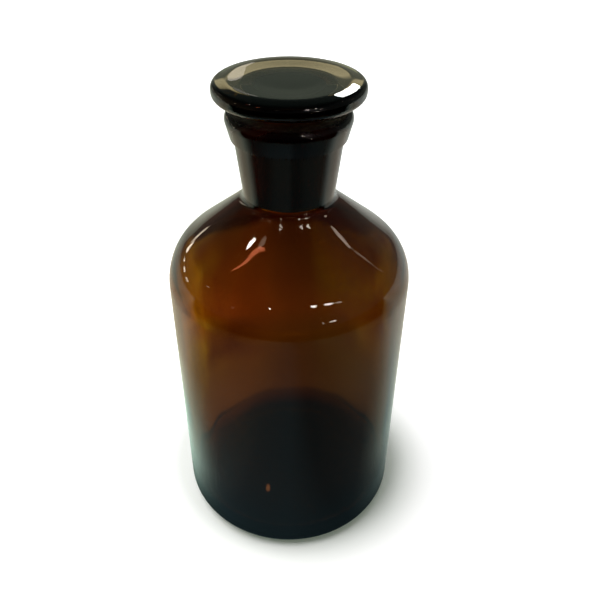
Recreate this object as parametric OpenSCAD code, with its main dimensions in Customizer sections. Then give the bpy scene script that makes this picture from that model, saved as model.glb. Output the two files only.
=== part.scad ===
// Narrow-mouth reagent bottle of amber glass, with a ground-in stopper that has a flat disc head.
// Millimetres, +Z up. The origin is the centre of the circle that the bottle stands on.
// Both pieces are turned about Z: each is one outline, a list of corners [radius, height, rounding].

/* [Body] */
// Outer diameter of the body
body_d = 70; // [50:1:100]
// Height at which the straight side ends and the shoulder's curve starts
side_h = 86; // [50:1:140]
// Thickness of the side wall
wall = 2.5; // [1.5:0.1:4]
// Outer radius of the shoulder's curve
shoulder_r = 15.5; // [8:0.5:20]
// Slope of the straight stretch between the shoulder's curve and the neck, in degrees
shoulder_slope = 39; // [25:1:50]

/* [Base] */
// Outer radius of the heel, between the side and the base
heel_r = 6; // [2:0.5:8]
// Inner radius of the heel
inner_heel_r = 6; // [3:0.5:10]
// Width of the flat ring that the bottle stands on
foot_w = 4; // [2:0.5:8]
// Height of the dome pushed up into the base from below
push_up = 2; // [0.5:0.1:5]
// Thickness of the base, which is thicker than the side
base_t = 4.5; // [2:0.1:8]

/* [Ground joint] */
// Diameter of the socket at its wide end, in the plane of the mouth
socket_d = 18.8; // [12:0.1:30]
// Length of the socket, from the mouth down to the inside of the shoulder
socket_len = 26; // [18:0.5:40]
// How much the diameter narrows for each millimetre of length
taper = 0.1; // [0.05:0.01:0.12]
// Radial clearance between the stopper's plug and the socket
joint_gap = 0.05; // [0.02:0.01:0.1]
// Rounding of the socket's edge at the mouth
mouth_round = 0.6; // [0.2:0.1:1]

/* [Neck and lip] */
// Thickness of the neck's wall at its root
neck_wall = 4.3; // [2.5:0.1:7]
// How much the neck's outer radius grows from the root to the lip
neck_flare = 2; // [0:0.1:4]
// Radius of the curve between the shoulder and the neck
neck_fillet = 3; // [1:0.5:6]
// How far the socket's lower end lies below the neck's root
socket_drop = 1.7; // [0.5:0.1:3]
// Height of the lip
lip_h = 7.4; // [5:0.1:10]
// How far the lip's lower edge stands out from the neck
lip_step = 0.9; // [0.4:0.1:2]
// How much the lip widens above its lower edge
lip_flare = 1.2; // [0.4:0.1:3]
// Rounding of the lip's upper outer edge
lip_round = 2.2; // [0.6:0.1:3]

/* [Stopper] */
// Diameter of the disc head
head_d = 39; // [32:0.5:50]
// Thickness of the disc head at its rim
head_t = 4; // [3:0.1:7]
// Gap between the mouth and the underside of the head
head_gap = 3; // [2.4:0.1:6]
// Width of the outer part of the head's top, which falls away to the rim
head_fall = 3.8; // [2.5:0.1:6]
// How far the crest of the head's top rises above the rim
head_crown = 0.6; // [0.2:0.1:1]
// Diameter of the flat floor of the shallow dish in the top
dish_d = 16; // [10:0.5:20]
// Depth of the dish below the crest
dish_depth = 0.3; // [0.1:0.1:0.8]
// How far the flare under the head reaches out beyond the plug
flare_w = 3; // [1:0.1:5]
// How far the ground plug stands out of the mouth
plug_rise = 0.8; // [0.3:0.1:1.2]
// How far the plug ends short of the socket's lower end
plug_short = 0.8; // [0.2:0.1:3]
// How much the waist under the head is narrower than the plug, on the radius
waist_step = 0.7; // [0.2:0.1:2]
// Rounding of the plug's lower edge
plug_round = 1; // [0.3:0.1:2]

/* [Small edges] */
// Rounding of the small edges that are fire-polished
edge_round = 0.5; // [0.2:0.1:0.6]

/* [Hidden] */
$fn = 180;
// Degrees of arc to one straight step of an outline
arc_step = 6;

body_r = body_d / 2;
inner_r = body_r - wall;
head_r = head_d / 2;

// Shoulder: the side's line and the slope's line meet in a corner, which shoulder_r rounds off
shoulder_lean = tan((90 - shoulder_slope) / 2);
shoulder_z = side_h + shoulder_r * shoulder_lean;
inner_shoulder_z = shoulder_z - wall * shoulder_lean;
inner_shoulder_r = shoulder_r - wall;

// Neck: its root is where the slope reaches the neck's radius, and the mouth lies above the socket
socket_low_r = (socket_d - socket_len * taper) / 2;
neck_r = socket_low_r + neck_wall;
neck_z = shoulder_z + (body_r - neck_r) * tan(shoulder_slope);
socket_z = neck_z - socket_drop;
mouth_z = socket_z + socket_len;
neck_top_r = neck_r + neck_flare;

// Lip
lip_z = mouth_z - lip_h;
lip_low_r = neck_top_r + lip_step;
lip_r = lip_low_r + lip_flare;
// Height of its widest place, just under its rounded edge
lip_wide_z = mouth_z - lip_round - edge_round;

// Base: the flat ring lies between the heel and the dome
foot_r = body_r - heel_r - foot_w;
floor_r = inner_r - inner_heel_r - edge_round;

// Stopper: its plug keeps joint_gap inside the socket's cone
plug_low_z = socket_z + plug_short;
plug_top_z = mouth_z + plug_rise;
head_z = mouth_z + head_gap;
rim_z = head_z + head_t;
top_z = rim_z + head_crown;
waist_h = head_z - plug_top_z;
waist_r = plug_r(plug_top_z) - waist_step;
waist_round = 0.25 * waist_h;
flare_r = plug_r(plug_top_z) + flare_w;
// The two edges of the rim leave a narrow band between them
rim_round = 0.45 * head_t;
// The crest lies between the part that falls to the rim and the dish
crest_r = head_r - head_fall;
crest_round = 2 * head_fall;
dish_r = dish_d / 2;
dish_round = 5 * dish_r;
dish_z = top_z - dish_depth;

// Radius of the socket's cone at a height, and of the plug's
function socket_r(z) = (socket_d - (mouth_z - z) * taper) / 2;
function plug_r(z) = socket_r(z) - joint_gap;

// The arc of radius r that rounds the corner b between its neighbours a and c
function rounded(a, b, c, r) =
    let (to_a = (a - b) / norm(a - b))
    let (to_c = (c - b) / norm(c - b))
    let (half = acos(to_a * to_c) / 2)
    let (middle = b + (to_a + to_c) / norm(to_a + to_c) * r / sin(half))
    let (start = b + to_a * r / tan(half) - middle)
    let (turn = (cross(to_a, to_c) > 0 ? -1 : 1) * (180 - 2 * half))
    let (steps = max(2, ceil(abs(turn) / arc_step)))
    [for (i = [0:steps])
        let (t = turn * i / steps)
        middle + [start[0] * cos(t) - start[1] * sin(t), start[0] * sin(t) + start[1] * cos(t)]];

// An outline's points, from its corners [radius, height, rounding]
function outline(corners) =
    let (spots = [for (c = corners) [c[0], c[1]]])
    let (count = len(corners))
    [for (i = [0:count - 1])
        each corners[i][2] == 0
            ? [spots[i]]
            : rounded(spots[(i + count - 1) % count], spots[i], spots[(i + 1) % count], corners[i][2])];

// Corners of a shallow dome, from its rim of radius r at height z up to its top on the axis
function dome(r, z, rise, steps = 6) =
    let (ball = (r * r + rise * rise) / (2 * rise))
    let (sweep = asin(r / ball))
    [for (i = [0:steps])
        let (a = sweep * (steps - i) / steps)
        [ball * sin(a), z + rise - ball * (1 - cos(a)), 0]];

module turned(corners) {
    rotate_extrude() polygon(outline(corners));
}

module bottle() {
    underside = dome(foot_r, 0, push_up);
    color([0.42, 0.20, 0.05])
        turned([
            // outside, from the foot up to the lip
            [body_r, 0, heel_r],
            [body_r, shoulder_z, shoulder_r],
            [neck_r, neck_z, neck_fillet],
            [neck_top_r, lip_z, 0.4 * lip_step],
            [lip_low_r, lip_z, 0.5 * lip_step],
            [lip_r, lip_wide_z, lip_round],
            [lip_r, mouth_z, lip_round],
            // inside, from the mouth down to the floor
            [socket_r(mouth_z), mouth_z, mouth_round],
            [socket_low_r, socket_z, 3 * edge_round],
            [inner_r, inner_shoulder_z, inner_shoulder_r],
            [inner_r, base_t, inner_heel_r],
            each dome(floor_r, base_t, push_up),
            // underside, from the axis out to the foot
            for (i = [len(underside) - 1:-1:0]) underside[i]
        ]);
}

module stopper() {
    color([0.12, 0.16, 0.12])
        turned([
            // plug
            [0, plug_low_z, 0],
            [plug_r(plug_low_z), plug_low_z, plug_round],
            [plug_r(plug_top_z), plug_top_z, edge_round],
            [waist_r, plug_top_z + waist_h / 2, waist_round],
            // head
            [flare_r, head_z, 6 * edge_round],
            [head_r, head_z, rim_round],
            [head_r, rim_z, rim_round],
            [crest_r, top_z, crest_round],
            [dish_r, dish_z, dish_round],
            [0, dish_z, 0]
        ]);
}

bottle();
stopper();
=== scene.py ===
import math

import bmesh
import bpy
from bpy.props import FloatProperty, FloatVectorProperty, IntProperty, PointerProperty
from mathutils import Euler, Matrix, Vector, noise


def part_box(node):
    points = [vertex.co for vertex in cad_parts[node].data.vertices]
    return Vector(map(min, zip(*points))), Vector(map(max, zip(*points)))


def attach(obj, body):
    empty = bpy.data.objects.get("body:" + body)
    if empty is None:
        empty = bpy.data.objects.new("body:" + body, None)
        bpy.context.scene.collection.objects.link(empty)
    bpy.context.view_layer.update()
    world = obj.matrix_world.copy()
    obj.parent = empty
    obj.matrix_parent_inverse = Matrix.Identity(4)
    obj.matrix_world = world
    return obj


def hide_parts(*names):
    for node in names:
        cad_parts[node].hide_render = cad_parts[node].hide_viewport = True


bl_info = {
    "name": "Reagent Bottle",
    "version": (1, 0, 0),
    "blender": (4, 5, 0),
    "location": "3D View > Sidebar > Bottle",
    "description": "An amber glass reagent bottle with a ground-in stopper, and a small stage for it",
    "category": "Add Mesh",
}

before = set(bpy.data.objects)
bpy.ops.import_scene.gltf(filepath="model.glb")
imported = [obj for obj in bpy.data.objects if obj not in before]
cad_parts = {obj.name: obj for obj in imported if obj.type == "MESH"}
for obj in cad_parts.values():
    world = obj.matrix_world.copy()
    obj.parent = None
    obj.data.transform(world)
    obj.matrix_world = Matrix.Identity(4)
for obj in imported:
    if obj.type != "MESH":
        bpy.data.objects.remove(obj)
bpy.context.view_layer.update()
_, BOTTLE_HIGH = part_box("bottle")
STOPPER_LOW, STOPPER_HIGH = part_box("stopper")

MM = 0.001

# Small roundings: of the fire-polished edges, of the mouth's inner edge, and of the plug's lower edge
EDGE_ROUND = 0.5 * MM
MOUTH_ROUND = 0.6 * MM
PLUG_ROUND = 1 * MM
# How far below its curve the waves of the shoulder have faded into those of the side
WAVE_FADE = 6 * MM
# The waves of the glass: lumps per metre of the broad and the fine ones, where in the noise each starts,
# and the height of the fine ones against the broad ones
BROAD_WAVES = 55
BROAD_START = Vector((3.1, 7.7, 1.9))
FINE_WAVES = 140
FINE_START = Vector((9.2, 0.4, 5.5))
FINE_SHARE = 0.35

# Ground glass: how far above the lower end of socket and plug it starts, how far under the mouth that of
# the socket ends, how far past the socket's radius it may reach, and how deep it is on the mouth's top
GROUND_START = 1 * MM
GROUND_END = 0.8 * MM
GROUND_REACH = 0.6 * MM
GROUND_TOP = 0.5 * MM
# Its grain: specks per metre, depth, and how strongly it shows
GRAIN_SCALE = 2500.0
GRAIN_DEPTH = 0.04 * MM
GRAIN_STRENGTH = 0.6
GLASS_IOR = 1.5
# How rough a full smear makes the glass, and the noise levels between which a smear comes in
SMEAR_ROUGHNESS = 0.06
SMEAR_FROM = 0.45
SMEAR_FULL = 0.75

# Places of a colour Mix node's sockets, which share their names with others
MIX_SHARE = 0
MIX_FIRST = 6
MIX_SECOND = 7
MIX_RESULT = 2

# The frame of the camera's picture, in pixels, its sensor's width in millimetres, and its nearest sight
FRAME_SIZE = 600
SENSOR_WIDTH = 36
NEAREST_SIGHT = 0.01
# How often light may pass through glass, and how often glass may mirror it
GLASS_BOUNCES = 24
GLOSSY_BOUNCES = 8

# The soft lamp overhead: its place, the length of its sides, and its power
OVERHEAD_PLACE = (-0.47, 0.02, 1.3)
OVERHEAD_SIDE = 1.1
OVERHEAD_WATTS = 17
# The point in the bottle that the room's lamps face
LAMP_TARGET = (0, 0, 0.1)

FLOOR_HALF_WIDTH = 6
# The floor as the camera sees it: its colour, and a little painted light of its own that softens the
# shadow, by distance from the shadow's centre: weakest near the bottle, where its lack paints the shadow's
# dark edge
FLOOR_SHADE = (0.95, 0.95, 0.94)
SHADOW_CENTRE = (-0.001, 0.006, 0.0)
LIFT_BY_REACH = [
    (0.0395, (0.045, 0.070, 0.040)),
    (0.0420, (0.150, 0.180, 0.145)),
    (0.0445, (0.270, 0.295, 0.265)),
    (0.0470, (0.370, 0.385, 0.365)),
    (0.0500, (0.450, 0.460, 0.445)),
    (0.0530, (0.510, 0.515, 0.505)),
    (0.0600, (0.580, 0.580, 0.580)),
    (0.4000, (0.750, 0.750, 0.750)),
    (1.5000, (1.000, 1.000, 1.000)),
]
# Painted light: the floor's glow as it shows through the bottle: colour from left to right, and brightness
# and tint by distance from the axis
BENT_BY_SIDE = [
    (-0.070, (1.40, 2.30, 1.20)),
    (-0.060, (1.00, 1.75, 0.80)),
    (-0.050, (0.70, 1.30, 0.50)),
    (-0.040, (0.46, 0.60, 0.35)),
    (-0.030, (0.33, 0.33, 0.28)),
    (-0.020, (0.27, 0.24, 0.20)),
    (-0.010, (0.21, 0.18, 0.15)),
    (0.000, (0.17, 0.14, 0.11)),
    (0.010, (0.15, 0.14, 0.12)),
    (0.020, (0.165, 0.19, 0.17)),
    (0.030, (0.19, 0.24, 0.22)),
    (0.040, (0.22, 0.30, 0.27)),
    (0.050, (0.27, 0.38, 0.32)),
    (0.060, (0.34, 0.55, 0.42)),
    (0.075, (0.45, 0.90, 0.65)),
]
BENT_BY_REACH = [
    (0.040, (1.00, 1.00, 1.00)),
    (0.062, (1.00, 1.00, 1.00)),
    (0.080, (1.20, 1.10, 1.20)),
    (0.098, (1.42, 1.14, 1.42)),
    (0.108, (1.35, 1.08, 1.35)),
    (0.118, (1.20, 0.96, 1.20)),
    (0.130, (1.02, 0.84, 1.02)),
    (0.150, (0.88, 0.80, 0.88)),
    (0.180, (0.66, 0.66, 0.66)),
    (0.210, (0.55, 0.55, 0.55)),
]
# Painted shade: a redder and darker tone in the floor's glow for the shoulder's sides, from left to right,
# and how much of it shows, by distance from the axis
SHOULDER_SHADE_BY_SIDE = [
    (-0.064, (0.85, 0.85, 1.00)),
    (-0.052, (0.70, 0.41, 0.45)),
    (-0.040, (0.86, 0.50, 0.50)),
    (-0.030, (1.15, 0.84, 0.60)),
    (-0.015, (1.05, 0.95, 0.80)),
    (0.000, (1.05, 1.00, 1.00)),
    (0.018, (1.05, 0.94, 0.90)),
    (0.033, (0.84, 0.62, 0.70)),
    (0.056, (0.62, 0.40, 0.50)),
    (0.074, (0.90, 0.85, 0.85)),
]
SHOULDER_REACH = [(0.085, 0.0), (0.098, 1.0)]
# Painted shade: the dark ring under the shoulder, in the floor's glow, in the same two ways
RING_SHADE_BY_SIDE = [
    (-0.056, (1.05, 1.25, 1.05)),
    (-0.047, (0.80, 0.72, 0.60)),
    (-0.041, (0.57, 0.42, 0.42)),
    (-0.034, (0.54, 0.36, 0.40)),
    (-0.026, (0.60, 0.44, 0.50)),
    (-0.012, (0.92, 0.86, 0.90)),
    (0.000, (1.00, 1.00, 1.00)),
    (0.018, (0.95, 0.86, 1.00)),
    (0.030, (0.83, 0.65, 0.90)),
    (0.045, (1.00, 1.00, 1.00)),
]
RING_REACH = [(0.065, 0.0), (0.074, 1.0), (0.086, 1.0), (0.098, 0.2), (0.110, 0.0)]
# The far floor's painted glow through the bottle, and how much of it shows, by distance from the axis
BENT_FAR = (0.17, 0.15, 0.16)
BENT_FAR_REACH = [(0.20, 0.0), (0.26, 1.0)]
# The shade under the bottle: its centre, and the floor's brightness by distance from that
SHADE_CENTRE = (0.002, -0.005, 0.0)
SHADE_BY_REACH = [(0.030, 0.005), (0.037, 0.08), (0.043, 0.55), (0.048, 0.90), (0.053, 1.00)]
# Painted light: the floor's glow as it shows through the head alone: the near floor's colour from left to
# right, the far floor's colour, how much of that shows by distance from the axis, its brightness from left
# to right, and the brightness of near and far by distance from the axis
HEAD_BY_SIDE = [
    (-0.070, (1.10, 1.25, 1.05)), (-0.050, (0.58, 0.70, 0.52)), (-0.030, (0.33, 0.33, 0.28)),
    (0.000, (0.17, 0.15, 0.12)), (0.030, (0.19, 0.22, 0.20)), (0.060, (0.34, 0.44, 0.38)),
    (0.075, (0.45, 0.65, 0.58)),
]
HEAD_FAR = (1.00, 0.98, 0.92)
HEAD_FAR_REACH = [(0.21, 0.0), (0.32, 1.0)]
HEAD_FAR_SIDE = [(-0.11, 0.25), (-0.08, 1.00), (0.08, 1.00), (0.11, 0.25)]
HEAD_BY_REACH = [
    (0.180, 0.66), (0.210, 0.55), (0.240, 0.15), (0.390, 0.08), (0.420, 0.12), (0.455, 1.05),
]
# Sight through the head alone crosses two surfaces of glass, and through the bottle four
HEAD_SURFACES = 2.5
# Painted reflection: the floor's glow in front as the outside mirrors it: colour by distance from the
# axis, up to where the dark room starts, and brightness from left to right and by depth
FRONT_BY_REACH = [
    (0.040, (0.085, 0.150, 0.170)),
    (0.100, (0.100, 0.165, 0.175)),
    (0.125, (0.075, 0.115, 0.115)),
    (0.140, (0.080, 0.120, 0.110)),
    (0.220, (0.100, 0.130, 0.100)),
    (0.250, (0.000, 0.000, 0.000)),
]
FRONT_BY_SIDE = [(-0.13, 0.4), (-0.08, 0.9), (0.00, 1.0), (0.025, 0.5), (0.06, 0.5), (0.10, 0.8)]
FRONT_BY_DEPTH = [(-0.03, 1.0), (0.00, 0.0)]
# Painted reflection: a paler glow of the floor close to the bottle, mostly at its left, in the same three
# ways
CLOSE_BY_REACH = [
    (0.036, (0.360, 0.560, 0.500)), (0.050, (0.420, 0.620, 0.540)), (0.070, (0.150, 0.240, 0.200)),
    (0.095, (0.000, 0.000, 0.000)),
]
CLOSE_BY_SIDE = [(-0.045, 1.1), (-0.030, 0.0), (0.042, 0.0), (0.054, 0.25)]
CLOSE_BY_DEPTH = [(-0.030, 0.08), (-0.022, 0.30), (-0.006, 1.0)]
# A glint that the side mirrors low down: its place on the floor, and its glow by distance from that
GLINT_PLACE = (-0.0158, -0.0560, 0.0)
GLINT_BY_REACH = [(0.0006, (1.80, 0.62, 0.18)), (0.0022, (0.00, 0.00, 0.00))]
# Painted reflection: the floor's glow beside and behind the bottle: colour by depth, and tint from left to
# right
BACK_BY_DEPTH = [
    (-0.030, (0.000, 0.000, 0.000)),
    (-0.015, (0.080, 0.110, 0.100)),
    (0.000, (0.240, 0.300, 0.270)),
    (0.010, (0.350, 0.420, 0.380)),
    (0.020, (0.450, 0.530, 0.480)),
    (0.030, (0.580, 0.640, 0.570)),
    (0.045, (0.700, 0.720, 0.610)),
    (0.100, (0.680, 0.630, 0.510)),
    (0.160, (0.780, 0.740, 0.640)),
    (0.220, (0.660, 0.700, 0.640)),
    (1.500, (0.400, 0.430, 0.380)),
]
BACK_BY_SIDE = [(-0.060, (1.00, 1.00, 0.88)), (-0.030, (0.85, 0.85, 0.70)), (0.030, (1.00, 1.00, 1.00))]
# How much of all that painted reflection shows, by distance from the axis: none from under the bottle,
# where it paints shade
MIRRORED_FROM = [(0.031, 0.0), (0.040, 1.0)]
# The room as the glass mirrors it, by the direction's three parts: colour by height, brightness by depth
# and from left to right, and a glow that is added from left to right
ROOM_BY_HEIGHT = [
    (0.00, (0.34, 0.36, 0.30)), (0.10, (0.28, 0.30, 0.25)), (0.25, (0.22, 0.25, 0.19)),
    (0.33, (0.18, 0.21, 0.16)), (0.42, (0.05, 0.065, 0.055)), (0.60, (0.02, 0.03, 0.025)),
]
ROOM_BY_DEPTH = [(-0.1, 0.0), (0.5, 1.0)]
ROOM_SIDE_SHARE = [(-0.50, 0.3), (-0.30, 1.0), (0.25, 1.0), (0.45, 0.3)]
ROOM_BY_SIDE = [
    (-0.90, (0.07, 0.05, 0.03)), (-0.60, (0.01, 0.01, 0.01)), (0.50, (0.01, 0.012, 0.012)),
    (0.70, (0.045, 0.05, 0.05)),
]
# The windows and lamps of the room, as strips of light that show only where glass mirrors them: name,
# one end, other end, width across, brightness where a white sheet has about 1, and colour
ROOM_LAMPS = [
    ("window", (-0.96, -0.07, 1.26), (-0.86, -0.16, 1.33), 0.018, 34.0, (1.00, 0.94, 0.86)),
    ("window glow", (-0.76, -0.26, 1.38), (-0.61, -0.35, 1.44), 0.03, 1.6, (1.00, 0.70, 0.50)),
    ("orange tube", (-1.04, -0.04, 1.19), (-0.57, -0.40, 1.44), 0.014, 6.0, (1.00, 0.24, 0.10)),
    ("left 1", (-0.94, 1.17, 0.26), (-0.99, 1.13, 0.29), 0.06, 3.5, (1.00, 0.86, 0.62)),
    ("left 2", (-1.01, 1.11, 0.30), (-1.10, 1.01, 0.36), 0.05, 6.0, (1.00, 0.90, 0.70)),
    ("left 3", (-1.17, 0.94, 0.32), (-1.23, 0.86, 0.27), 0.06, 6.0, (1.00, 0.90, 0.70)),
    ("left 4", (-1.29, 0.78, 0.27), (-1.37, 0.62, 0.27), 0.07, 6.5, (1.00, 0.90, 0.70)),
    ("left 5", (-1.42, 0.51, 0.25), (-1.46, 0.37, 0.28), 0.07, 5.0, (1.00, 0.90, 0.70)),
    ("root", (-1.05, 0.93, 0.65), (-1.12, 0.67, 0.86), 0.012, 4.0, (1.00, 0.88, 0.75)),
    ("lamp 1", (-0.044, -0.073, 0.296), (-0.026, -0.076, 0.299), 0.0008, 12.0, (1.00, 0.85, 0.75)),
    ("lamp 2", (0.050, -0.072, 0.296), (0.066, -0.067, 0.291), 0.0008, 11.0, (1.00, 0.85, 0.75)),
    ("lamp 3", (0.080, -0.059, 0.289), (0.096, -0.051, 0.283), 0.0008, 13.0, (1.00, 0.85, 0.75)),
    ("head window", (0.30, 1.24, 0.92), (0.24, 1.38, 0.67), 0.2, 9.0, (0.95, 1.00, 0.98)),
    ("head haze", (-0.13, 1.42, 0.63), (-0.07, 1.41, 0.65), 0.06, 0.8, (1.00, 0.92, 0.84)),
    ("lamp 4", (-1.33, -0.05, 0.82), (-1.36, 0.02, 0.77), 0.06, 2.2, (1.00, 0.80, 0.60)),
    ("lamp 5", (-1.10, -0.87, 0.69), (-1.13, -0.81, 0.72), 0.1, 0.8, (1.00, 0.50, 0.30)),
    ("lamp 6", (-0.34, -1.10, 1.09), (-0.39, -1.09, 1.09), 0.1, 14.0, (1.00, 0.88, 0.78)),
    ("strip 1", (0.49, -1.01, 1.13), (0.59, -0.95, 1.13), 0.13, 20.0, (1.00, 0.88, 0.78)),
    ("strip 2", (0.72, -0.89, 1.10), (0.91, -0.77, 1.04), 0.1, 17.0, (1.00, 0.90, 0.80)),
    ("strip 3", (0.94, -0.76, 1.03), (1.04, -0.71, 0.95), 0.07, 3.0, (1.00, 0.85, 0.70)),
    ("low 1", (0.87, -1.24, 0.31), (1.04, -1.11, 0.29), 0.08, 9.0, (1.00, 0.88, 0.78)),
    ("low 2", (0.73, -1.33, 0.32), (0.77, -1.30, 0.32), 0.08, 3.0, (1.00, 0.88, 0.78)),
    ("right 1", (1.07, 0.19, 1.15), (1.14, 0.31, 1.03), 0.03, 3.6, (1.00, 0.80, 0.66)),
    ("right 2", (1.14, 0.31, 1.03), (1.24, 0.43, 0.86), 0.03, 1.4, (1.00, 0.78, 0.62)),
    ("right 3", (1.24, 0.43, 0.86), (1.33, 0.48, 0.64), 0.03, 0.6, (1.00, 0.75, 0.60)),
]


def length(name, description, millimetres):
    """A property that holds a length, with its default in millimetres."""
    return FloatProperty(
        name=name, description=description, default=millimetres * MM, min=0, unit="LENGTH", precision=5,
    )


def colour(name, description, default):
    """A property that holds a linear colour."""
    return FloatVectorProperty(
        name=name, description=description, default=default, size=3, min=0, max=1, subtype="COLOR",
    )


def factor(name, description, default, high=1.0):
    """A property that holds a plain number."""
    return FloatProperty(name=name, description=description, default=default, min=0, max=high)


class BottleShape(bpy.types.PropertyGroup):
    """Sizes of the blown bottle."""

    body_radius: length("Body Radius", "Outer radius of the straight side", BOTTLE_HIGH.x / MM)
    mouth_height: length("Mouth Height", "Height of the mouth", BOTTLE_HIGH.z / MM)
    wall: length("Wall", "Thickness of the side", 2.5)
    side_height: length("Side Height", "Height at which the shoulder's curve starts", 86)
    shoulder_curve: length("Shoulder Curve", "Outer radius of the shoulder's curve", 15.5)
    shoulder_slope: FloatProperty(
        name="Shoulder Slope", description="Slope of the shoulder above its curve",
        default=math.radians(39), unit="ROTATION", subtype="ANGLE",
    )
    heel: length("Heel", "Outer radius of the heel", 6)
    inner_heel: length("Inner Heel", "Inner radius of the heel", 6)
    foot_width: length("Foot Width", "Width of the flat ring that the bottle stands on", 4)
    push_up: length("Push-up", "Height of the dome in the base", 2)
    base: length("Base", "Thickness of the base", 4.5)
    neck_radius: length("Neck Radius", "Outer radius of the neck at its root", 12.4)
    neck_fillet: length("Neck Fillet", "Radius of the curve at the neck's root", 3)
    neck_flare: length("Neck Flare", "How much the neck widens up to the lip", 2)
    lip_height: length("Lip Height", "Height of the lip", 7.4)
    lip_step: length("Lip Step", "How far the lip's lower edge stands out", 0.9)
    lip_flare: length("Lip Flare", "How much the lip widens above its lower edge", 1.2)
    lip_round: length("Lip Round", "Rounding of the lip's upper edge", 2.2)
    socket_radius: length("Socket Radius", "Radius of the ground socket at the mouth", 9.4)
    socket_length: length("Socket Length", "Length of the ground socket", 26)
    taper: factor("Taper", "How much the socket's diameter narrows along its length", 0.1)
    outer_waves: length("Outer Waves", "Height of the waves that blowing leaves outside", 0.07)
    shoulder_waves: length("Shoulder Waves", "Height of the waves on the shoulder's curve", 0.18)
    inner_waves: length("Inner Waves", "Height of the waves that blowing leaves inside", 0.3)


class StopperShape(bpy.types.PropertyGroup):
    """Sizes of the pressed and ground stopper."""

    head_radius: length("Head Radius", "Radius of the disc head", STOPPER_HIGH.x / MM)
    head_gap: length("Head Gap", "Gap between the mouth and the underside of the head", 3)
    head_thickness: length("Head Thickness", "Thickness of the head at its rim", 4)
    head_fall: length("Head Fall", "Width of the outer part of the top, which falls to the rim", 3.8)
    head_crown: length("Head Crown", "How far the crest of the top rises above the rim", 0.6)
    dish_radius: length("Dish Radius", "Radius of the flat floor of the dish in the top", 8)
    dish: length("Dish", "Depth of the dish below the crest", 0.3)
    flare: length("Flare", "How far the flare under the head reaches out beyond the plug", 3)
    top_waves: length("Top Waves", "Height of the waves that pressing leaves in the head's top", 0.05)
    plug_end: length("Plug End", "Height of the plug's lower end", STOPPER_LOW.z / MM)
    plug_rise: length("Plug Rise", "How far the ground plug stands out of the mouth", 0.8)
    plug_gap: length("Plug Gap", "Radial clearance between plug and socket", 0.05)
    waist: length("Waist", "How much the waist is narrower than the plug", 0.7)


class GlassFinish(bpy.types.PropertyGroup):
    """Colours and surface of the glass."""

    bottle_tint: colour("Bottle Tint", "Colour that the bottle's glass lets through", (0.76, 0.54, 0.05))
    bottle_depth: factor("Bottle Depth", "Absorption of the bottle's glass per metre", 1000, 5000)
    stopper_tint: colour("Stopper Tint", "Colour that the stopper's glass lets through", (0.66, 0.6, 0.4))
    stopper_depth: factor("Stopper Depth", "Absorption of the stopper's glass per metre", 500, 5000)
    ground_roughness: factor("Ground Roughness", "Roughness of the ground glass", 0.45)
    polish: factor("Polish", "Roughness of the fire-polished glass", 0.015)


class StageLook(bpy.types.PropertyGroup):
    """The camera, the floor and the light."""

    focal: FloatProperty(name="Focal Length", description="Lens, in millimetres", default=40.42)
    camera_distance: length("Camera Distance", "Level distance from the axis to the camera", 165)
    camera_height: length("Camera Height", "Height of the camera over the floor", 198.06)
    camera_pitch: FloatProperty(
        name="Camera Pitch", description="How far the camera looks down",
        default=math.radians(36.58), unit="ROTATION", subtype="ANGLE",
    )
    axis_column: IntProperty(
        name="Axis Column", description="Pixel column on which the bottle's axis stands", default=289,
    )
    ambient: factor("Ambient", "Strength of the light from all round", 0.3, 10)


def rounded(before, corner, after, radius, step):
    """The points of the arc that rounds a corner between its neighbours."""
    to_before = (before - corner).normalized()
    to_after = (after - corner).normalized()
    half = to_before.angle(to_after) / 2
    middle = corner + (to_before + to_after).normalized() * radius / math.sin(half)
    start = corner + to_before * radius / math.tan(half) - middle
    turn = math.pi - 2 * half
    if to_before.cross(to_after) > 0:
        turn = -turn
    count = max(2, math.ceil(abs(turn) / step))
    points = []
    for i in range(count + 1):
        angle = turn * i / count
        points.append(middle + Vector((
            start.x * math.cos(angle) - start.y * math.sin(angle),
            start.x * math.sin(angle) + start.y * math.cos(angle),
        )))
    return points


def outline(corners, step=math.radians(4), spacing=1.5 * MM):
    """Points (radius, height, waves) of an open outline, from corners (radius, height, rounding, waves).

    Corners with a rounding become arcs, and longer stretches are divided."""
    rough = []
    for i, (radius, height, rounding, waves) in enumerate(corners):
        here = Vector((radius, height))
        if rounding:
            before = Vector(corners[i - 1][:2])
            after = Vector(corners[i + 1][:2])
            spots = rounded(before, here, after, rounding, step)
        else:
            spots = [here]
        rough += [(spot, waves) for spot in spots]
    fine = [(rough[0][0].x, rough[0][0].y, rough[0][1])]
    for (start, start_waves), (end, end_waves) in zip(rough, rough[1:]):
        parts = max(1, math.ceil((end - start).length / spacing))
        for i in range(1, parts + 1):
            share = i / parts
            spot = start.lerp(end, share)
            fine.append((spot.x, spot.y, start_waves + (end_waves - start_waves) * share))
    return fine


def dome(radius, height, rise, waves, steps=8):
    """Corners of a shallow dome, from its rim up to its top on the axis."""
    ball = (radius ** 2 + rise ** 2) / (2 * rise)
    sweep = math.asin(radius / ball)
    corners = []
    for i in range(steps + 1):
        angle = sweep * (steps - i) / steps
        corners.append((ball * math.sin(angle), height + rise - ball * (1 - math.cos(angle)), 0, waves))
    return corners


def wave_noise(spot, lumps, start, pull):
    """Noise at a spot, with so many lumps per metre, drawn out by pull along Z."""
    return noise.noise(Vector((spot.x * lumps, spot.y * lumps, spot.z * lumps / pull)) + start)


def blown_wave(spot, pull):
    """Height of the waves at a spot, between about -1 and 1."""
    broad = wave_noise(spot, BROAD_WAVES, BROAD_START, pull)
    return broad + FINE_SHARE * wave_noise(spot, FINE_WAVES, FINE_START, pull)


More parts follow.
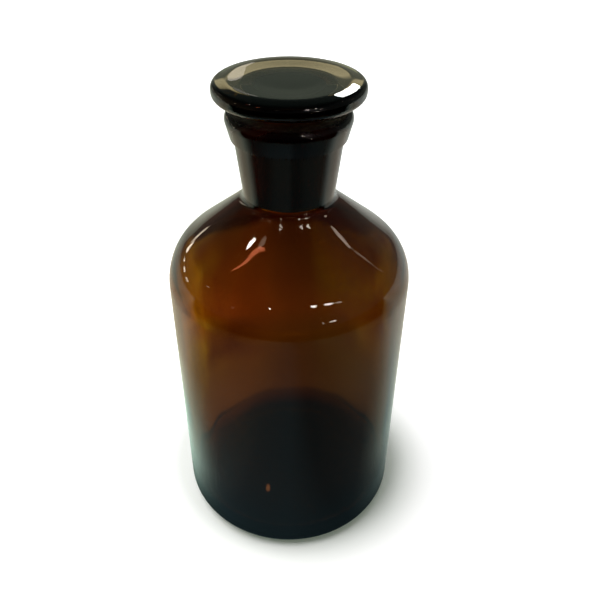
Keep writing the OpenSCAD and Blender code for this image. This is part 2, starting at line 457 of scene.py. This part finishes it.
def turned_piece(name, points, steps=192, pull=3.0):
    """A closed mesh turned about Z from an outline whose two ends lie on the axis."""
    bm = bmesh.new()
    waves = bm.verts.layers.float.new("waves")
    verts = []
    for radius, height, amount in points:
        vert = bm.verts.new((radius, 0, height))
        vert[waves] = amount
        verts.append(vert)
    edges = [bm.edges.new(pair) for pair in zip(verts, verts[1:])]
    bmesh.ops.spin(
        bm, geom=verts + edges, cent=(0, 0, 0), axis=(0, 0, 1), angle=math.tau, steps=steps,
        use_merge=True,
    )
    bmesh.ops.remove_doubles(bm, verts=bm.verts, dist=0.001 * MM)
    bmesh.ops.recalc_face_normals(bm, faces=bm.faces)
    bm.normal_update()
    waved = [vert for vert in bm.verts if vert[waves] > 0]
    moves = [vert.normal * vert[waves] * blown_wave(vert.co, pull) for vert in waved]
    for vert, move in zip(waved, moves):
        vert.co += move
    bm.verts.layers.float.remove(waves)
    for face in bm.faces:
        face.smooth = True
    mesh = bpy.data.meshes.new(name)
    bm.to_mesh(mesh)
    bm.free()
    piece = bpy.data.objects.new(name, mesh)
    bpy.context.scene.collection.objects.link(piece)
    return piece


# Materials


def add_node(tree, kind, **values):
    """A new node, with its own settings and the values of its inputs."""
    node = tree.nodes.new(kind)
    for key, value in values.items():
        if key in node.inputs:
            node.inputs[key].default_value = value
        else:
            setattr(node, key, value)
    return node


def math_node(tree, operation, first, second=None, third=None):
    """A Math node's output, fed by sockets or plain numbers."""
    node = tree.nodes.new("ShaderNodeMath")
    node.operation = operation
    for socket, value in zip(node.inputs, (first, second, third)):
        if isinstance(value, bpy.types.NodeSocket):
            tree.links.new(value, socket)
        elif value is not None:
            socket.default_value = value
    return node.outputs[0]


def new_group(name, inputs, outputs):
    """A shader node group with float inputs (name, default) and float outputs, and its two end nodes."""
    group = bpy.data.node_groups.new(name, "ShaderNodeTree")
    for label, default in inputs:
        socket = group.interface.new_socket(label, in_out="INPUT", socket_type="NodeSocketFloat")
        socket.default_value = default
    for label in outputs:
        group.interface.new_socket(label, in_out="OUTPUT", socket_type="NodeSocketFloat")
    return group, group.nodes.new("NodeGroupInput"), group.nodes.new("NodeGroupOutput")


def object_place(tree):
    """The surface's place in the piece."""
    return tree.nodes.new("ShaderNodeTexCoord").outputs["Object"]


def split_place(tree, place):
    """Sockets X, Y and Z of a place or a direction."""
    split = tree.nodes.new("ShaderNodeSeparateXYZ")
    tree.links.new(place, split.inputs[0])
    return split.outputs["X"], split.outputs["Y"], split.outputs["Z"]


def axis_distance(tree, x, y):
    """How far a place is from the Z axis."""
    square = math_node(tree, "ADD", math_node(tree, "MULTIPLY", x, x), math_node(tree, "MULTIPLY", y, y))
    return math_node(tree, "SQRT", square)


def ground_zone_group():
    """1 on ground glass about Z, between two heights and inside a radius, and 0 elsewhere."""
    group, inside, outside = new_group(
        "Ground Zone",
        [("Low", 110 * MM), ("High", 136 * MM), ("Radius", 10 * MM), ("Edge", 0.3 * MM)],
        ["Mask"],
    )
    x, y, z = split_place(group, object_place(group))
    reach = axis_distance(group, x, y)

    def rise(value, start):
        """0 below start, 1 above it, over the width of Edge."""
        gone = math_node(group, "SUBTRACT", value, start)
        share = math_node(group, "DIVIDE", gone, inside.outputs["Edge"])
        return math_node(group, "MINIMUM", math_node(group, "MAXIMUM", share, 0.0), 1.0)

    above = rise(z, inside.outputs["Low"])
    below = math_node(group, "SUBTRACT", 1.0, rise(z, inside.outputs["High"]))
    near = math_node(group, "SUBTRACT", 1.0, rise(reach, inside.outputs["Radius"]))
    mask = math_node(group, "MULTIPLY", math_node(group, "MULTIPLY", above, below), near)
    group.links.new(mask, outside.inputs["Mask"])
    return group


def handling_group():
    """Smears and dust that handling leaves: a patchy value between 0 and 1."""
    group, inside, outside = new_group("Handling", [("Scale", 60.0), ("Amount", 0.5)], ["Smear"])
    patches = add_node(group, "ShaderNodeTexNoise", Detail=4.0, Roughness=0.6)
    group.links.new(object_place(group), patches.inputs["Vector"])
    group.links.new(inside.outputs["Scale"], patches.inputs["Scale"])
    ramp = add_node(group, "ShaderNodeMapRange", **{"From Min": SMEAR_FROM, "From Max": SMEAR_FULL})
    group.links.new(patches.outputs["Fac"], ramp.inputs["Value"])
    smear = math_node(group, "MULTIPLY", ramp.outputs["Result"], inside.outputs["Amount"])
    group.links.new(smear, outside.inputs["Smear"])
    return group


def glass_material(name, tint, depth, finish, ground_zones, handled):
    """Clear tinted glass that is matt where it is ground. A ground zone is (low, high, radius)."""
    material = bpy.data.materials.new(name)
    material.use_nodes = True
    tree = material.node_tree
    tree.nodes.clear()
    output = tree.nodes.new("ShaderNodeOutputMaterial")
    glass = tree.nodes.new("ShaderNodeBsdfPrincipled")
    glass.inputs["Base Color"].default_value = (1, 1, 1, 1)
    glass.inputs["IOR"].default_value = GLASS_IOR
    glass.inputs["Transmission Weight"].default_value = 1
    absorb = tree.nodes.new("ShaderNodeVolumeAbsorption")
    absorb.inputs["Color"].default_value = (*tint, 1)
    absorb.inputs["Density"].default_value = depth
    tree.links.new(glass.outputs[0], output.inputs["Surface"])
    tree.links.new(absorb.outputs[0], output.inputs["Volume"])

    ground = 0.0
    for limits in ground_zones:
        zone = tree.nodes.new("ShaderNodeGroup")
        zone.node_tree = bpy.data.node_groups["Ground Zone"]
        for label, value in zip(("Low", "High", "Radius"), limits):
            zone.inputs[label].default_value = value
        ground = math_node(tree, "MAXIMUM", zone.outputs["Mask"], ground)
    smears = tree.nodes.new("ShaderNodeGroup")
    smears.node_tree = bpy.data.node_groups["Handling"]
    smears.inputs["Amount"].default_value = handled

    clear = math_node(tree, "MULTIPLY_ADD", smears.outputs["Smear"], SMEAR_ROUGHNESS, finish.polish)
    matt = math_node(tree, "MULTIPLY", ground, finish.ground_roughness)
    tree.links.new(math_node(tree, "MAXIMUM", clear, matt), glass.inputs["Roughness"])

    grain = add_node(tree, "ShaderNodeTexNoise", Scale=GRAIN_SCALE, Detail=2.0)
    tree.links.new(object_place(tree), grain.inputs["Vector"])
    height = math_node(tree, "MULTIPLY", grain.outputs["Fac"], ground)
    bump = add_node(tree, "ShaderNodeBump", Strength=GRAIN_STRENGTH, Distance=GRAIN_DEPTH)
    tree.links.new(height, bump.inputs["Height"])
    tree.links.new(bump.outputs[0], glass.inputs["Normal"])
    return material


# Pieces


def bottle_corners(shape):
    """The bottle's outline, from the middle of its floor over the mouth to the middle of its underside."""
    lean = math.tan((math.pi / 2 - shape.shoulder_slope) / 2)
    shoulder_z = shape.side_height + shape.shoulder_curve * lean
    inner = shape.body_radius - shape.wall
    socket_low = shape.socket_radius - shape.socket_length * shape.taper / 2
    socket_z = shape.mouth_height - shape.socket_length
    socket_low_round = 3 * EDGE_ROUND
    neck_z = shoulder_z + (shape.body_radius - shape.neck_radius) * math.tan(shape.shoulder_slope)
    lip_z = shape.mouth_height - shape.lip_height
    neck_top = shape.neck_radius + shape.neck_flare
    lip_low = neck_top + shape.lip_step
    lip = lip_low + shape.lip_flare
    lip_wide_z = shape.mouth_height - shape.lip_round - EDGE_ROUND
    lip_low_round = 0.5 * shape.lip_step
    neck_top_round = 0.4 * shape.lip_step
    foot = shape.body_radius - shape.heel - shape.foot_width
    floor_radius = inner - shape.inner_heel - EDGE_ROUND
    outer_waves = shape.outer_waves
    inner_waves = shape.inner_waves
    return [
        *reversed(dome(floor_radius, shape.base, shape.push_up, inner_waves)),
        (inner, shape.base, shape.inner_heel, inner_waves),
        (inner, shoulder_z - shape.wall * lean, shape.shoulder_curve - shape.wall, inner_waves),
        (socket_low, socket_z, socket_low_round, 0),
        (shape.socket_radius, shape.mouth_height, MOUTH_ROUND, 0),
        (lip, shape.mouth_height, shape.lip_round, outer_waves),
        (lip, lip_wide_z, shape.lip_round, outer_waves),
        (lip_low, lip_z, lip_low_round, outer_waves),
        (neck_top, lip_z, neck_top_round, outer_waves),
        (shape.neck_radius, neck_z, shape.neck_fillet, outer_waves),
        (shape.body_radius, shoulder_z, shape.shoulder_curve, shape.shoulder_waves),
        (shape.body_radius, shape.side_height - WAVE_FADE, 0, outer_waves),
        (shape.body_radius, 0, shape.heel, 0),
        *dome(foot, 0, shape.push_up, 0),
    ]


def stopper_corners(shape, bottle):
    """The stopper's outline from the middle of the plug's end to the middle of the dish."""
    def plug_radius(z):
        """Radius of the plug at a height, which keeps its gap inside the socket's cone."""
        return bottle.socket_radius - (bottle.mouth_height - z) * bottle.taper / 2 - shape.plug_gap

    plug_top = bottle.mouth_height + shape.plug_rise
    under = bottle.mouth_height + shape.head_gap
    waist_height = under - plug_top
    waist_round = 0.25 * waist_height
    flare_round = 6 * EDGE_ROUND
    rim_top = under + shape.head_thickness
    # The two edges of the rim leave a narrow band between them
    rim_round = 0.45 * shape.head_thickness
    crest_top = rim_top + shape.head_crown
    crest_round = 2 * shape.head_fall
    dish_round = 5 * shape.dish_radius
    return [
        (0, shape.plug_end, 0, 0),
        (plug_radius(shape.plug_end), shape.plug_end, PLUG_ROUND, 0),
        (plug_radius(plug_top), plug_top, EDGE_ROUND, 0),
        (plug_radius(plug_top) - shape.waist, plug_top + waist_height / 2, waist_round, 0),
        (plug_radius(plug_top) + shape.flare, under, flare_round, 0),
        (shape.head_radius, under, rim_round, 0),
        (shape.head_radius, rim_top, rim_round, 0),
        (shape.head_radius - shape.head_fall, crest_top, crest_round, shape.top_waves),
        (shape.dish_radius, crest_top - shape.dish, dish_round, shape.top_waves),
        (0, crest_top - shape.dish, 0, 0),
    ]


class REAGENT_OT_finishes(bpy.types.Operator):
    """Build the effects that both kinds of glass share"""

    bl_idname = "reagent.finishes"
    bl_label = "Glass Effects"

    def execute(self, context):
        ground_zone_group()
        handling_group()
        return {"FINISHED"}


class REAGENT_OT_bottle(bpy.types.Operator):
    """Blow the amber bottle"""

    bl_idname = "reagent.bottle"
    bl_label = "Bottle"

    def execute(self, context):
        settings = context.scene.reagent
        shape = settings.bottle
        finish = settings.finish
        piece = turned_piece("amber_bottle", outline(bottle_corners(shape)))
        mouth = shape.mouth_height
        socket_low = mouth - shape.socket_length
        socket_zone = (socket_low + GROUND_START, mouth - GROUND_END, shape.socket_radius + GROUND_REACH)
        # The upper and outer limits of the mouth's flat top lie outside the glass
        top_zone = (mouth - GROUND_TOP, mouth + 1 * MM, shape.body_radius)
        piece.data.materials.append(glass_material(
            "Amber Glass", finish.bottle_tint, finish.bottle_depth, finish, [socket_zone, top_zone],
            handled=0.5,
        ))
        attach(piece, "bottle")
        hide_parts("bottle")
        return {"FINISHED"}


class REAGENT_OT_stopper(bpy.types.Operator):
    """Press and grind the stopper"""

    bl_idname = "reagent.stopper"
    bl_label = "Stopper"

    def execute(self, context):
        settings = context.scene.reagent
        shape = settings.stopper
        bottle = settings.bottle
        finish = settings.finish
        piece = turned_piece("glass_stopper", outline(stopper_corners(shape, bottle)))
        plug_top = bottle.mouth_height + shape.plug_rise
        plug_zone = (shape.plug_end + GROUND_START, plug_top, bottle.socket_radius + GROUND_REACH)
        piece.data.materials.append(glass_material(
            "Stopper Glass", finish.stopper_tint, finish.stopper_depth, finish, [plug_zone], handled=0.4,
        ))
        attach(piece, "stopper")
        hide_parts("stopper")
        return {"FINISHED"}


def graded(tree, value, stops):
    """A colour that follows a value through (value, colour) stops."""
    first = stops[0][0]
    last = stops[-1][0]
    share = add_node(tree, "ShaderNodeMapRange", **{"From Min": first, "From Max": last})
    tree.links.new(value, share.inputs["Value"])
    ramp = tree.nodes.new("ShaderNodeValToRGB")
    tree.links.new(share.outputs["Result"], ramp.inputs["Fac"])
    marks = ramp.color_ramp.elements
    marks[0].color = (*stops[0][1], 1)
    marks[1].color = (*stops[-1][1], 1)
    for place, shade in stops[1:-1]:
        marks.new((place - first) / (last - first)).color = (*shade, 1)
    return ramp.outputs["Color"]


def grey(stops):
    """The stops of a plain brightness, as colours."""
    return [(place, (level, level, level)) for place, level in stops]


def blend(tree, kind, first, second, share=1.0):
    """Two colours combined: each is a socket or a plain colour, and the share a socket or a number."""
    node = add_node(tree, "ShaderNodeMix", data_type="RGBA", blend_type=kind)
    for number, value in ((MIX_SHARE, share), (MIX_FIRST, first), (MIX_SECOND, second)):
        socket = node.inputs[number]
        if isinstance(value, bpy.types.NodeSocket):
            tree.links.new(value, socket)
        elif isinstance(value, float):
            socket.default_value = value
        else:
            socket.default_value = (*value, 1)
    return node.outputs[MIX_RESULT]


def distance(tree, place, spot):
    """How far a place is from a fixed spot."""
    gap = add_node(tree, "ShaderNodeVectorMath", operation="DISTANCE")
    tree.links.new(place, gap.inputs[0])
    gap.inputs[1].default_value = spot
    return gap.outputs["Value"]


def floor_material():
    """Pale floor: white to the eye, and a painted glow, dimmer and tinted, in what the glass bends and
    mirrors.
    """
    material = bpy.data.materials.new("Pale Floor")
    material.use_nodes = True
    tree = material.node_tree
    tree.nodes.clear()
    output = tree.nodes.new("ShaderNodeOutputMaterial")
    path = tree.nodes.new("ShaderNodeLightPath")
    place = object_place(tree)
    x, y, _ = split_place(tree, place)
    reach = axis_distance(tree, x, y)

    # Painted light seen through the glass: the floor's glow, painted dark under the bottle, brown behind
    # it, paler at the sides
    shoulder_share = graded(tree, reach, grey(SHOULDER_REACH))
    shoulder = blend(tree, "MIX", (1, 1, 1), graded(tree, x, SHOULDER_SHADE_BY_SIDE), shoulder_share)
    ring_share = graded(tree, reach, grey(RING_REACH))
    ring = blend(tree, "MIX", (1, 1, 1), graded(tree, x, RING_SHADE_BY_SIDE), ring_share)
    far_share = graded(tree, reach, grey(BENT_FAR_REACH))
    bent = blend(tree, "MIX", graded(tree, x, BENT_BY_SIDE), BENT_FAR, far_share)
    bent = blend(tree, "MULTIPLY", bent, blend(tree, "MULTIPLY", shoulder, ring))
    bent = blend(tree, "MULTIPLY", bent, graded(tree, reach, BENT_BY_REACH))
    head_far = blend(tree, "MULTIPLY", HEAD_FAR, graded(tree, x, grey(HEAD_FAR_SIDE)))
    head_far_share = graded(tree, reach, grey(HEAD_FAR_REACH))
    head = blend(tree, "MIX", graded(tree, x, HEAD_BY_SIDE), head_far, head_far_share)
    head = blend(tree, "MULTIPLY", head, graded(tree, reach, grey(HEAD_BY_REACH)))
    through_bottle = math_node(tree, "GREATER_THAN", path.outputs["Transmission Depth"], HEAD_SURFACES)
    bent = blend(tree, "MIX", head, bent, through_bottle)
    shade = graded(tree, distance(tree, place, SHADE_CENTRE), grey(SHADE_BY_REACH))
    bent = blend(tree, "MULTIPLY", bent, shade)

    # Painted reflection in what the outside mirrors: the floor's glow, dim in front, paler at the sides
    # and behind
    front = graded(tree, reach, FRONT_BY_REACH)
    front = blend(tree, "MULTIPLY", front, graded(tree, x, grey(FRONT_BY_SIDE)))
    front = blend(tree, "MULTIPLY", front, graded(tree, y, grey(FRONT_BY_DEPTH)))
    close = graded(tree, reach, CLOSE_BY_REACH)
    close = blend(tree, "MULTIPLY", close, graded(tree, x, grey(CLOSE_BY_SIDE)))
    close = blend(tree, "MULTIPLY", close, graded(tree, y, grey(CLOSE_BY_DEPTH)))
    back = blend(tree, "MULTIPLY", graded(tree, y, BACK_BY_DEPTH), graded(tree, x, BACK_BY_SIDE))
    glint = graded(tree, distance(tree, place, GLINT_PLACE), GLINT_BY_REACH)
    mirrored = blend(tree, "ADD", back, blend(tree, "ADD", front, close))
    mirrored = blend(tree, "ADD", mirrored, glint)
    mirrored = blend(tree, "MULTIPLY", mirrored, graded(tree, reach, grey(MIRRORED_FROM)))

    glow = blend(tree, "MIX", mirrored, bent, path.outputs["Is Transmission Ray"])
    matt = tree.nodes.new("ShaderNodeBsdfDiffuse")
    shine = tree.nodes.new("ShaderNodeEmission")
    seen = path.outputs["Is Camera Ray"]
    tree.links.new(blend(tree, "MIX", (0, 0, 0), FLOOR_SHADE, seen), matt.inputs["Color"])
    # Painted light: to the camera the floor glows a little, least near the bottle, which paints the
    # shadow's edge
    lift = graded(tree, distance(tree, place, SHADOW_CENTRE), LIFT_BY_REACH)
    tree.links.new(blend(tree, "MIX", glow, lift, seen), shine.inputs["Color"])
    both = tree.nodes.new("ShaderNodeAddShader")
    tree.links.new(matt.outputs[0], both.inputs[0])
    tree.links.new(shine.outputs[0], both.inputs[1])
    tree.links.new(both.outputs[0], output.inputs["Surface"])
    return material


def add_floor():
    """A wide flat floor under the bottle."""
    bm = bmesh.new()
    bmesh.ops.create_grid(bm, x_segments=1, y_segments=1, size=FLOOR_HALF_WIDTH)
    mesh = bpy.data.meshes.new("floor")
    bm.to_mesh(mesh)
    bm.free()
    floor = bpy.data.objects.new("floor", mesh)
    bpy.context.scene.collection.objects.link(floor)
    floor.data.materials.append(floor_material())


def add_world(ambient):
    """A plain white backdrop for the camera, and a dim room for what the glass mirrors."""
    world = bpy.data.worlds.new("Studio")
    bpy.context.scene.world = world
    world.use_nodes = True
    tree = world.node_tree
    tree.nodes.clear()
    output = tree.nodes.new("ShaderNodeOutputWorld")
    path = tree.nodes.new("ShaderNodeLightPath")
    direction = tree.nodes.new("ShaderNodeTexCoord").outputs["Generated"]
    x, y, z = split_place(tree, direction)
    room = graded(tree, z, ROOM_BY_HEIGHT)
    room = blend(tree, "MULTIPLY", room, graded(tree, y, grey(ROOM_BY_DEPTH)))
    room = blend(tree, "MULTIPLY", room, graded(tree, x, grey(ROOM_SIDE_SHARE)))
    room = blend(tree, "ADD", room, graded(tree, x, ROOM_BY_SIDE))
    shade = blend(tree, "MIX", (ambient, ambient, ambient), room, path.outputs["Is Glossy Ray"])
    shade = blend(tree, "MIX", shade, (1, 1, 1), path.outputs["Is Camera Ray"])
    sky = tree.nodes.new("ShaderNodeBackground")
    tree.links.new(shade, sky.inputs["Color"])
    tree.links.new(sky.outputs[0], output.inputs["Surface"])


def add_softbox(name, place, target, width, height, watts, tint=(1, 1, 1)):
    """A rectangular lamp at a place, facing a target."""
    light = bpy.data.lights.new(name, "AREA")
    light.shape = "RECTANGLE"
    light.size = width
    light.size_y = height
    light.energy = watts
    light.color = tint
    lamp = bpy.data.objects.new(name, light)
    lamp.location = place
    lamp.rotation_euler = (Vector(target) - Vector(place)).to_track_quat("-Z", "Y").to_euler()
    bpy.context.scene.collection.objects.link(lamp)
    return lamp


def add_room_lamp(name, first, last, across, brightness, tint):
    """A flat strip of light between two ends, facing the bottle, which shows in mirrored rays alone."""
    first = Vector(first)
    last = Vector(last)
    middle = (first + last) / 2
    back = (middle - Vector(LAMP_TARGET)).normalized()
    along = (last - first).normalized()
    along = (along - back * along.dot(back)).normalized()
    span = (last - first).length
    watts = brightness * math.pi * span * across
    lamp = add_softbox(name, middle, LAMP_TARGET, span, across, watts, tint)
    lamp.data.shape = "ELLIPSE"
    lamp.rotation_euler = Matrix((along, back.cross(along), back)).transposed().to_euler()
    lamp.visible_camera = False
    lamp.visible_diffuse = False
    lamp.visible_transmission = False


def hide_from_glass(lamp):
    """The lamp lights the floor, and the glass neither mirrors it nor shows it."""
    lamp.visible_glossy = False
    lamp.visible_transmission = False


def add_camera(look):
    """The camera, level across and looking down at the bottle."""
    camera = bpy.data.cameras.new("camera")
    camera.lens = look.focal
    camera.sensor_width = SENSOR_WIDTH
    camera.sensor_fit = "HORIZONTAL"
    camera.clip_start = NEAREST_SIGHT
    camera.shift_x = (FRAME_SIZE / 2 - look.axis_column) / FRAME_SIZE
    holder = bpy.data.objects.new("camera", camera)
    holder.location = (0, -look.camera_distance, look.camera_height)
    holder.rotation_euler = Euler((math.pi / 2 - look.camera_pitch, 0, 0))
    bpy.context.scene.collection.objects.link(holder)
    bpy.context.scene.camera = holder


class REAGENT_OT_stage(bpy.types.Operator):
    """Lay the floor and set the light and the camera"""

    bl_idname = "reagent.stage"
    bl_label = "Stage"

    def execute(self, context):
        look = context.scene.reagent.stage
        add_floor()
        add_world(look.ambient)
        overhead = add_softbox(
            "overhead", OVERHEAD_PLACE, (0, 0, 0), OVERHEAD_SIDE, OVERHEAD_SIDE, OVERHEAD_WATTS,
        )
        hide_from_glass(overhead)
        for lamp in ROOM_LAMPS:
            add_room_lamp(*lamp)
        add_camera(look)
        scene = context.scene
        scene.view_settings.view_transform = "Standard"
        scene.cycles.max_bounces = GLASS_BOUNCES
        scene.cycles.transmission_bounces = GLASS_BOUNCES
        scene.cycles.glossy_bounces = GLOSSY_BOUNCES
        return {"FINISHED"}


class ReagentSettings(bpy.types.PropertyGroup):
    """All the settings of the bottle and its stage."""

    bottle: PointerProperty(type=BottleShape)
    stopper: PointerProperty(type=StopperShape)
    finish: PointerProperty(type=GlassFinish)
    stage: PointerProperty(type=StageLook)


class REAGENT_PT_sidebar(bpy.types.Panel):
    """The settings, and a button for each operator"""

    bl_label = "Reagent Bottle"
    bl_idname = "REAGENT_PT_sidebar"
    bl_space_type = "VIEW_3D"
    bl_region_type = "UI"
    bl_category = "Bottle"

    def draw(self, context):
        settings = context.scene.reagent
        for group in (settings.bottle, settings.stopper, settings.finish, settings.stage):
            box = self.layout.box()
            for key in group.__annotations__:
                box.prop(group, key)
        for operator in OPERATORS:
            self.layout.operator(operator.bl_idname)


OPERATORS = (REAGENT_OT_finishes, REAGENT_OT_bottle, REAGENT_OT_stopper, REAGENT_OT_stage)
CLASSES = (BottleShape, StopperShape, GlassFinish, StageLook, ReagentSettings, *OPERATORS,
           REAGENT_PT_sidebar)


def register():
    for cls in CLASSES:
        bpy.utils.register_class(cls)
    bpy.types.Scene.reagent = PointerProperty(type=ReagentSettings)


def unregister():
    del bpy.types.Scene.reagent
    for cls in reversed(CLASSES):
        bpy.utils.unregister_class(cls)


def main():
    register()
    bpy.ops.reagent.finishes()
    bpy.ops.reagent.bottle()
    bpy.ops.reagent.stopper()
    bpy.ops.reagent.stage()


if __name__ == "__main__":
    main()
